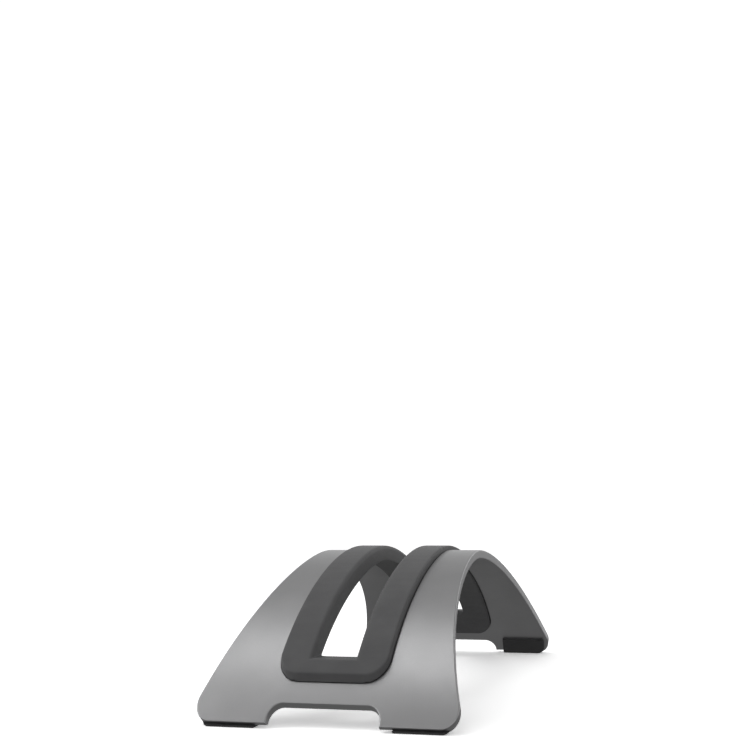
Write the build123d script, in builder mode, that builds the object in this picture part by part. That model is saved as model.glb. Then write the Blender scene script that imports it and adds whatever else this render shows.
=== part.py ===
"""Upright laptop stand: a bent aluminium arch, a lift-out silicone saddle and four bonded rubber feet.

Frame: +X across the stand, +Y along it, +Z up, origin on the desk under the middle of the arch.
The stand is symmetric about both the XZ and the YZ plane. Every length is in millimetres.
"""

import os

from build123d import *

os.makedirs("parts", exist_ok=True)

# Arch side curve, crest to foot, as Bezier control points (y, z). It runs on below the foot to be trimmed.
arch_height = 53.7
arch_curve = [(0, arch_height), (30, arch_height), (94.1, 37.0), (116.0, -4.8)]
plate = 3.5

# Arch outline, seen along Y, with the cable cut-out in the foot of each leg.
crest_half_width = 32.2
waist_point = (38.85, 28.7)
foot_half_width = 47.35
foot_edge = 2.0
foot_corner = 5.6
cable_half_width = 19.4
cable_height = 8.0
cable_corner = 4.8

# Every cut edge is square to the plate, so the sole of each foot is milled level below its outer edge.
sole_lift = 1.0
edge_break = 0.4

# Slot through the arch, seen from above, and the play that the saddle has in it on each side.
slot_width = 38.8
slot_length = 201.8
slot_corner = 7.3
play = 0.3

# Saddle: its top and underside follow the arch, and it is open in the middle for the laptop.
saddle_curve = [(0, 55.5), (34.6, 55.5), (89.0, 40.0), (115.0, 2.3)]
saddle_length = 204.0
saddle_below = 1.0
saddle_round = 0.5
laptop_gap = 15.2
laptop_seat = 21.3
laptop_lip = 1.5
window_length = 178.0
window_corner = 3.0

# Feet: a wedge behind each leg's end that turns under it. Its side profile, seen along X, stops short of
# the plate's outer face, and its corner is rounded both in front view and in plan.
film = 0.2
pad_profile = [(105.5, 0), (111.3, 0), (111.3, sole_lift - film), (110, sole_lift - film)]
pad_profile += [(106.5, 8.5), (103.6, 7), (102.75, 6.2)]
pad_inner = 23.5
pad_outer = 43.0
pad_front = 111.3
pad_corner = 3.0
pad_round = 0.5

# How far the cutting tools reach past the stand, and how many spans a curved line over the arch has.
beyond = 150.0
curve_steps = 12


def across(curve, offset):
    """Smooth line over the whole arch, at a distance outside the given half curve."""
    half = Bezier(*curve, mode=Mode.PRIVATE)
    stations = [step / curve_steps for step in range(curve_steps + 1)]
    rear = [half @ u + (half % u).rotate(Axis.Z, 90) * offset for u in stations]
    front = [Vector(-point.X, point.Y) for point in reversed(rear[1:])]
    return Spline(*front, *rear)


# The outer skin of the bent plate, with its whole outline except the slot.
with BuildPart() as form:
    with BuildSketch(Plane.YZ.offset(-foot_half_width)):
        with BuildLine():
            skin_line = across(arch_curve, 0)
            Line(skin_line @ 1, skin_line @ 0)
        make_face()
    extrude(amount=2 * foot_half_width)
    with BuildSketch(Plane.XZ):
        with BuildLine():
            Polyline(
                (0, cable_height),
                (cable_half_width, cable_height),
                (cable_half_width, foot_edge),
                (foot_half_width, foot_edge),
            )
            ThreePointArc((foot_half_width, foot_edge), waist_point, (crest_half_width, arch_height))
            Polyline((crest_half_width, arch_height), (crest_half_width, beyond), (0, beyond))
            mirror(about=Plane.YZ)
        make_face()
        notch_top = vertices().group_by(Axis.Y)[1].filter_by(lambda corner: abs(corner.X) > cable_corner)
        fillet(notch_top, cable_corner)
        sole = vertices().group_by(Axis.Y)[0].sort_by(Axis.X)
        fillet([sole[0], sole[-1]], foot_corner)
    extrude(amount=beyond, both=True, mode=Mode.INTERSECT)
skin = form.faces().sort_by(SortBy.AREA)[-1]


def bent_plate(thickness, bottom):
    """The plate without its slot, milled level at the bottom."""
    with BuildPart() as body:
        thicken(skin, amount=-thickness)
        with BuildSketch(Plane.XY.offset(bottom)):
            Rectangle(2 * beyond, 2 * beyond)
        extrude(amount=-beyond, mode=Mode.SUBTRACT)
    return body.part


# The arch. Its outer face is its broadest, and its inner face the next, and the edges of both are broken.
with BuildPart() as arch_body:
    add(bent_plate(plate, sole_lift))
    with BuildSketch(Plane.XY):
        RectangleRounded(slot_width, slot_length, slot_corner)
    extrude(amount=beyond, mode=Mode.SUBTRACT)
    fillet(arch_body.faces().sort_by(SortBy.AREA)[-1].edges(), edge_break)
    fillet(arch_body.faces().sort_by(SortBy.AREA)[-2].edges(), edge_break)
arch_body.part.label = "arch_body"
export_step(arch_body.part, "parts/arch_body.step")


def arched_slab(top_curve, top_offset, low_curve, low_offset, width):
    """A curved slab between two lines over the arch, as wide as given."""
    with BuildPart() as slab:
        with BuildSketch(Plane.YZ.offset(-width / 2)):
            with BuildLine():
                top = across(top_curve, top_offset)
                low = across(low_curve, low_offset)
                Line(top @ 0, low @ 0)
                Line(top @ 1, low @ 1)
            make_face()
        extrude(amount=width)
    return slab.part


plug_width = slot_width - 2 * play
plug_length = slot_length - 2 * play
plug_corner = slot_corner - play

# What the saddle loses under its two end lips, which lie on the arch outside the slot.
with BuildPart() as under_lips:
    add(arched_slab(arch_curve, play, arch_curve, -2 * plate, slot_width))
    with BuildSketch(Plane.XY):
        RectangleRounded(plug_width, plug_length, plug_corner)
    extrude(amount=beyond, mode=Mode.SUBTRACT)

# The saddle: one loop with a window through it, and a level seat across each end of the window.
# Its top and its underside are its two broadest faces, and the underside is the broader one.
with BuildPart() as saddle:
    add(arched_slab(saddle_curve, 0, arch_curve, -plate - saddle_below, slot_width))
    with BuildSketch(Plane.XY):
        RectangleRounded(plug_width, saddle_length, plug_corner)
    extrude(amount=beyond, mode=Mode.INTERSECT)
    add(under_lips.part, mode=Mode.SUBTRACT)
    with BuildSketch(Plane.XY):
        RectangleRounded(laptop_gap, window_length, window_corner)
    extrude(amount=beyond, mode=Mode.SUBTRACT)
    with BuildSketch(Plane.XY.offset(laptop_seat)):
        Rectangle(laptop_gap, 2 * beyond)
    extrude(amount=beyond, mode=Mode.SUBTRACT)
    fillet(saddle.faces().sort_by(SortBy.AREA)[-2].outer_wire().edges(), saddle_round)
    fillet(saddle.faces().sort_by(SortBy.AREA)[-2].inner_wires()[0].edges(), laptop_lip)
    fillet(saddle.faces().sort_by(SortBy.AREA)[-1].outer_wire().edges(), edge_break)
saddle.part.label = "saddle"
export_step(saddle.part, "parts/saddle.step")

# One foot, at the rear right, with the adhesive film between it and the plate.
with BuildPart() as foot_block:
    with BuildSketch(Plane.YZ):
        with BuildLine():
            Polyline(*pad_profile, close=True)
        make_face()
    extrude(amount=foot_half_width)
    with BuildSketch(Plane.XZ):
        with BuildLine():
            Polyline((pad_inner, 0), (pad_outer, 0), (pad_outer, beyond), (pad_inner, beyond), close=True)
        make_face()
        fillet(vertices().group_by(Axis.Y)[0].sort_by(Axis.X)[-1], pad_corner)
    extrude(amount=beyond, both=True, mode=Mode.INTERSECT)
    with BuildSketch(Plane.XY):
        with BuildLine():
            Line((pad_inner, 0), (pad_outer, 0))
            Polyline((pad_outer, 0), (pad_outer, pad_front), (pad_inner, pad_front), (pad_inner, 0))
        make_face()
        fillet(vertices().group_by(Axis.Y)[-1].sort_by(Axis.X)[-1], pad_corner)
    extrude(amount=beyond, mode=Mode.INTERSECT)

with BuildPart() as pad:
    add(foot_block.part)
    add(bent_plate(plate + film, sole_lift - film), mode=Mode.SUBTRACT)
    fillet(pad.faces().sort_by(Axis.Z)[0].edges(), pad_round)

with BuildPart() as adhesive:
    add(foot_block.part)
    add(bent_plate(plate + film, sole_lift - film), mode=Mode.INTERSECT)
    add(bent_plate(plate, sole_lift), mode=Mode.SUBTRACT)

# The planes that carry the rear right foot to each corner.
corners = {
    "rear_right": [],
    "rear_left": [Plane.YZ],
    "front_right": [Plane.XZ],
    "front_left": [Plane.YZ, Plane.XZ],
}
for corner, mirrors in corners.items():
    for kind, source in (("pad", pad), ("adhesive", adhesive)):
        with BuildPart() as piece:
            add(source.part)
            for plane in mirrors:
                mirror(about=plane, mode=Mode.REPLACE)
        name = corner + "_" + kind
        piece.part.label = name
        export_step(piece.part, "parts/" + name + ".step")
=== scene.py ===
"""Looks of the upright laptop stand: an anodised arch, a silicone saddle and rubber feet in a white studio."""

import math

import bmesh
import bpy
from mathutils import Matrix, Vector


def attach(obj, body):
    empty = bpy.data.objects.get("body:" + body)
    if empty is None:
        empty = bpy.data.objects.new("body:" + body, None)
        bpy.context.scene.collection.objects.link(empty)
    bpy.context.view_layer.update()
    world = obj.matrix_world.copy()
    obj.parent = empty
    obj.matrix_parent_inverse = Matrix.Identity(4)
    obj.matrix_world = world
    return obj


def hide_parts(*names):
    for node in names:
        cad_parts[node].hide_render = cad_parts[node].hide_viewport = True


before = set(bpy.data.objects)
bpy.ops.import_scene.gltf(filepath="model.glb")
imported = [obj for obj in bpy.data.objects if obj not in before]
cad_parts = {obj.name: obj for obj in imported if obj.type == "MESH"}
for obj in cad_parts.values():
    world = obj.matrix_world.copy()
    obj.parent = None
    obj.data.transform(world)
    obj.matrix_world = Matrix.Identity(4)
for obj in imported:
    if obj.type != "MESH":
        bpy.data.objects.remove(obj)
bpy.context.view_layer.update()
scene = bpy.context.scene
scene.view_settings.view_transform = "Standard"

MM = 0.001
CORNERS = ("rear_left", "rear_right", "front_left", "front_right")

CAMERA_PLACE = (0.13057, -0.52326, 0.07674)
CAMERA_LENS_MM = 61.95
CAMERA_TURN, CAMERA_TILT, CAMERA_ROLL = 15.035, 95.16, -0.58

# The band of a noise's values that its colours and roughness are spread over.
NOISE_LOW, NOISE_HIGH = 0.3, 0.7

SADDLE_CELL, FOOT_CELL = 0.3 * MM, 0.25 * MM
EASING_ROUNDS = 2
WELD_DISTANCE = 0.001 * MM

STUDIO_RADIUS = 10.0
LIGHT_AIM = (0, 0, 0.03)

# How bright the studio is by the Z of the direction: dim below, brightest round the horizon.
WORLD_LEVELS = [(-1.0, 0.2), (-0.02, 0.2), (0.02, 1.2), (0.25, 0.95), (0.5, 0.4), (1.0, 0.38)]


def add_camera():
    """The viewing angle: low, from the front right, looking slightly up."""
    data = bpy.data.cameras.new("camera")
    data.sensor_width = 36.0
    data.lens = CAMERA_LENS_MM
    data.clip_start = 0.01
    data.clip_end = 50.0
    camera = bpy.data.objects.new("camera", data)
    turn = Matrix.Rotation(math.radians(CAMERA_TURN), 4, "Z")
    tilt = Matrix.Rotation(math.radians(CAMERA_TILT), 4, "X")
    roll = Matrix.Rotation(math.radians(CAMERA_ROLL), 4, "Z")
    camera.matrix_world = Matrix.Translation(CAMERA_PLACE) @ turn @ tilt @ roll
    scene.collection.objects.link(camera)
    scene.camera = camera


class Look:
    """A principled material in the making, with shorthands for the nodes that the materials share."""

    def __init__(self, name, metallic=0.0, specular=0.5):
        self.material = bpy.data.materials.new(name)
        self.material.use_nodes = True
        self.nodes = self.material.node_tree.nodes
        self.links = self.material.node_tree.links
        self.shader = self.nodes["Principled BSDF"]
        self.shader.inputs["Metallic"].default_value = metallic
        self.shader.inputs["Specular IOR Level"].default_value = specular
        self.place = self.nodes.new("ShaderNodeTexCoord").outputs["Object"]

    def noise(self, size, detail=2.0, stretch=None):
        """Noise whose features are about as large as given, in metres."""
        texture = self.nodes.new("ShaderNodeTexNoise")
        texture.inputs["Scale"].default_value = 1.0 / size
        texture.inputs["Detail"].default_value = detail
        if stretch:
            mapping = self.nodes.new("ShaderNodeMapping")
            mapping.inputs["Scale"].default_value = stretch
            self.links.new(self.place, mapping.inputs["Vector"])
            self.links.new(mapping.outputs["Vector"], texture.inputs["Vector"])
        else:
            self.links.new(self.place, texture.inputs["Vector"])
        return texture.outputs["Fac"]

    def spread(self, value, low, high):
        """A noise's usual range, spread between two values."""
        node = self.nodes.new("ShaderNodeMapRange")
        node.inputs["From Min"].default_value = NOISE_LOW
        node.inputs["From Max"].default_value = NOISE_HIGH
        node.inputs["To Min"].default_value = low
        node.inputs["To Max"].default_value = high
        self.links.new(value, node.inputs["Value"])
        return node.outputs["Result"]

    def colour(self, value, dark, light):
        """The base colour, from dark to light by a noise."""
        ramp = self.nodes.new("ShaderNodeValToRGB")
        stops = ramp.color_ramp.elements
        stops[0].position, stops[1].position = NOISE_LOW, NOISE_HIGH
        stops[0].color, stops[1].color = (*dark, 1), (*light, 1)
        self.links.new(value, ramp.inputs["Fac"])
        self.links.new(ramp.outputs["Color"], self.shader.inputs["Base Color"])

    def roughness(self, value, low, high):
        """The roughness, from low to high by a noise."""
        self.links.new(self.spread(value, low, high), self.shader.inputs["Roughness"])

    def bump(self, *layers):
        """Bumps on top of each other, each a noise, a height in metres and a strength."""
        normal = None
        for value, height, strength in layers:
            node = self.nodes.new("ShaderNodeBump")
            node.inputs["Distance"].default_value = height
            node.inputs["Strength"].default_value = strength
            self.links.new(value, node.inputs["Height"])
            if normal:
                self.links.new(normal, node.inputs["Normal"])
            normal = node.outputs["Normal"]
        self.links.new(normal, self.shader.inputs["Normal"])


def anodised_aluminium():
    """Fine bead-blasted grain under a matt clear anodised skin, with the faintest cloudiness."""
    look = Look("anodised_aluminium", metallic=1.0)
    grain = look.noise(0.5 * MM, detail=4.0)
    pores = look.noise(0.12 * MM)
    clouds = look.noise(14 * MM, detail=4.0)
    look.colour(clouds, (0.425, 0.425, 0.43), (0.455, 0.455, 0.46))
    look.roughness(grain, 0.36, 0.46)
    look.bump((grain, 0.06 * MM, 0.3), (pores, 0.02 * MM, 0.2))
    return look.material


def moulded_silicone():
    """Matt grey silicone with the grain of its mould, and a soft dusty sheen."""
    look = Look("moulded_silicone", specular=0.35)
    grain = look.noise(0.3 * MM, detail=3.0)
    patches = look.noise(9 * MM, detail=3.0)
    look.colour(patches, (0.075, 0.075, 0.077), (0.09, 0.09, 0.092))
    look.roughness(grain, 0.52, 0.68)
    look.bump((patches, 0.3 * MM, 0.12), (grain, 0.06 * MM, 0.35))
    look.shader.inputs["Sheen Weight"].default_value = 0.12
    look.shader.inputs["Sheen Roughness"].default_value = 0.6
    return look.material


def foot_rubber():
    """Black rubber, lightly textured and a little scuffed."""
    look = Look("foot_rubber", specular=0.3)
    grain = look.noise(0.45 * MM, detail=3.0)
    scuffs = look.noise(2.5 * MM, detail=5.0, stretch=(0.35, 1.0, 1.0))
    look.colour(scuffs, (0.042, 0.042, 0.043), (0.056, 0.056, 0.057))
    look.roughness(scuffs, 0.6, 0.8)
    look.bump((grain, 0.1 * MM, 0.4))
    return look.material


def adhesive_film():
    """Dark acrylic adhesive, seen only as a thin dull line."""
    look = Look("adhesive_film", specular=0.4)
    ripple = look.noise(0.8 * MM, detail=2.0)
    look.colour(ripple, (0.08, 0.08, 0.08), (0.12, 0.12, 0.12))
    look.roughness(ripple, 0.4, 0.55)
    look.bump((ripple, 0.03 * MM, 0.3))
    return look.material


def dress(node, material):
    """Give a carried-over CAD node its material."""
    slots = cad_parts[node].data.materials
    slots.clear()
    slots.append(material)


def keep_largest_part(mesh):
    """Clear away the loose specks that a voxel remesh can shed beside a mesh's main skin."""
    shape = bmesh.new()
    shape.from_mesh(mesh)
    waiting = set(shape.verts)
    parts = []
    while waiting:
        part, edge = set(), {waiting.pop()}
        while edge:
            part |= edge
            edge = {side.other_vert(corner) for corner in edge for side in corner.link_edges} - part
        waiting -= part
        parts.append(part)
    parts.sort(key=len)
    for part in parts[:-1]:
        bmesh.ops.delete(shape, geom=list(part), context="VERTS")
    shape.to_mesh(mesh)
    shape.free()


def moulded_piece(node, name, cell, material, body):
    """A moulded piece in a CAD node's place: its form in one fine even skin, with the edges eased."""
    piece = bpy.data.objects.new(name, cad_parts[node].data.copy())
    scene.collection.objects.link(piece)
    shape = bmesh.new()
    shape.from_mesh(piece.data)
    bmesh.ops.remove_doubles(shape, verts=shape.verts, dist=WELD_DISTANCE)
    shape.to_mesh(piece.data)
    shape.free()
    remesh = piece.modifiers.new("skin", "REMESH")
    remesh.mode = "VOXEL"
    remesh.voxel_size = cell
    ease = piece.modifiers.new("ease", "SMOOTH")
    ease.factor = 0.5
    ease.iterations = EASING_ROUNDS
    depsgraph = bpy.context.evaluated_depsgraph_get()
    baked = bpy.data.meshes.new_from_object(piece.evaluated_get(depsgraph))
    piece.modifiers.clear()
    piece.data = baked
    keep_largest_part(baked)
    for face in baked.polygons:
        face.use_smooth = True
    baked.materials.clear()
    baked.materials.append(material)
    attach(piece, body)
    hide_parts(node)


def stage_mesh(name, material, build):
    """A part of the studio that the camera sees, but that neither lights the stand nor shows in it."""
    mesh = bpy.data.meshes.new(name)
    shape = bmesh.new()
    build(shape)
    shape.to_mesh(mesh)
    shape.free()
    mesh.materials.append(material)
    piece = bpy.data.objects.new(name, mesh)
    piece.visible_diffuse = False
    piece.visible_glossy = False
    scene.collection.objects.link(piece)
    return piece


def white(name, albedo, glow):
    """Matt white that also glows, so that it stays white wherever no shadow falls."""
    material = bpy.data.materials.new(name)
    material.use_nodes = True
    shader = material.node_tree.nodes["Principled BSDF"]
    shader.inputs["Base Color"].default_value = (albedo, albedo, albedo, 1)
    shader.inputs["Roughness"].default_value = 0.9
    shader.inputs["Specular IOR Level"].default_value = 0.0
    shader.inputs["Emission Color"].default_value = (1, 1, 1, 1)
    shader.inputs["Emission Strength"].default_value = glow
    return material


def add_floor():
    """The white floor. Its albedo is above one, which deepens the shadows on it against its glow."""
    def build(shape):
        bmesh.ops.create_grid(shape, x_segments=1, y_segments=1, size=STUDIO_RADIUS)

    stage_mesh("floor", white("white_floor", albedo=1.65, glow=0.25), build)


def add_backdrop():
    """A white dome round the whole studio, which lets the world's light through."""
    def build(shape):
        bmesh.ops.create_icosphere(shape, subdivisions=4, radius=STUDIO_RADIUS)

    dome = stage_mesh("backdrop", white("white_backdrop", albedo=0.0, glow=1.05), build)
    dome.visible_shadow = False


def add_world(levels):
    """A studio whose brightness goes by height: pairs of a direction's Z and its level."""
    world = bpy.data.worlds.new("studio")
    world.use_nodes = True
    scene.world = world
    nodes, links = world.node_tree.nodes, world.node_tree.links
    place = nodes.new("ShaderNodeTexCoord")
    split = nodes.new("ShaderNodeSeparateXYZ")
    height = nodes.new("ShaderNodeMapRange")
    ramp = nodes.new("ShaderNodeValToRGB")
    height.inputs["From Min"].default_value = -1.0
    links.new(place.outputs["Generated"], split.inputs["Vector"])
    links.new(split.outputs["Z"], height.inputs["Value"])
    links.new(height.outputs["Result"], ramp.inputs["Fac"])
    links.new(ramp.outputs["Color"], nodes["Background"].inputs["Color"])
    stops = ramp.color_ramp.elements
    while len(stops) < len(levels):
        stops.new(1.0)
    for stop, (z, level) in zip(stops, levels):
        stop.position = (z + 1) / 2
        stop.color = (level, level, level, 1)


def add_light(name, place, size, power):
    """A square softbox that faces the stand."""
    data = bpy.data.lights.new(name, "AREA")
    data.shape = "SQUARE"
    data.size = size
    data.energy = power
    light = bpy.data.objects.new(name, data)
    light.location = place
    aim = Vector(LIGHT_AIM) - light.location
    light.rotation_euler = aim.to_track_quat("-Z", "Y").to_euler()
    scene.collection.objects.link(light)


add_camera()
add_floor()
add_backdrop()
add_world(WORLD_LEVELS)
add_light("key", place=(-0.28, 0.05, 1.2), size=0.5, power=1.35)
add_light("left", place=(-1.0, -0.3, 0.85), size=0.6, power=3.8)

dress("arch_body", anodised_aluminium())
moulded_piece("saddle", "silicone_saddle", SADDLE_CELL, moulded_silicone(), "saddle")
rubber = foot_rubber()
tape = adhesive_film()
for corner in CORNERS:
    dress(corner + "_adhesive", tape)
    moulded_piece(corner + "_pad", corner + "_foot", FOOT_CELL, rubber, "arch")
